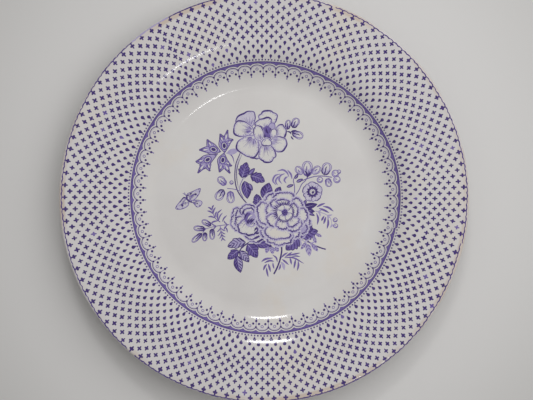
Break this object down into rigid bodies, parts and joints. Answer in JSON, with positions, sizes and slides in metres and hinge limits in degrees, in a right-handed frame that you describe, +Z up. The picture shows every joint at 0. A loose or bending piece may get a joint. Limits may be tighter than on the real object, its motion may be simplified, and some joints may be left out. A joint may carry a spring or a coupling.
{
  "type": "dinner plate",
  "caption": "Round china dinner plate: shallow well, wide sloping rim, foot ring, printed border and bouquet under a clear glaze.",
  "frame": {"origin": "on the plate's axis, at the level of the flat ring of the foot that stands on the table", "axes": "+Z up along the plate's axis, out of the eating face; +Y towards the top of the printed bouquet; +X to its right"},
  "size_m": [0.26, 0.26, 0.025],
  "materials": {
    "body": "fired body, matt where the foot ring is wiped bare",
    "glaze": "clear gloss glaze over a white body",
    "ink": "blue-violet printed colour under clear gloss glaze"
  },
  "bodies": {
    "root": {"plate_body": "body", "face_glaze": "glaze", "back_glaze": "glaze", "base_glaze": "glaze", "border_transfer_upper": "ink", "border_transfer_left": "ink", "border_transfer_lower": "ink", "bouquet_transfer": "ink", "butterfly_transfer": "ink"}
  },
  "joints": []
}
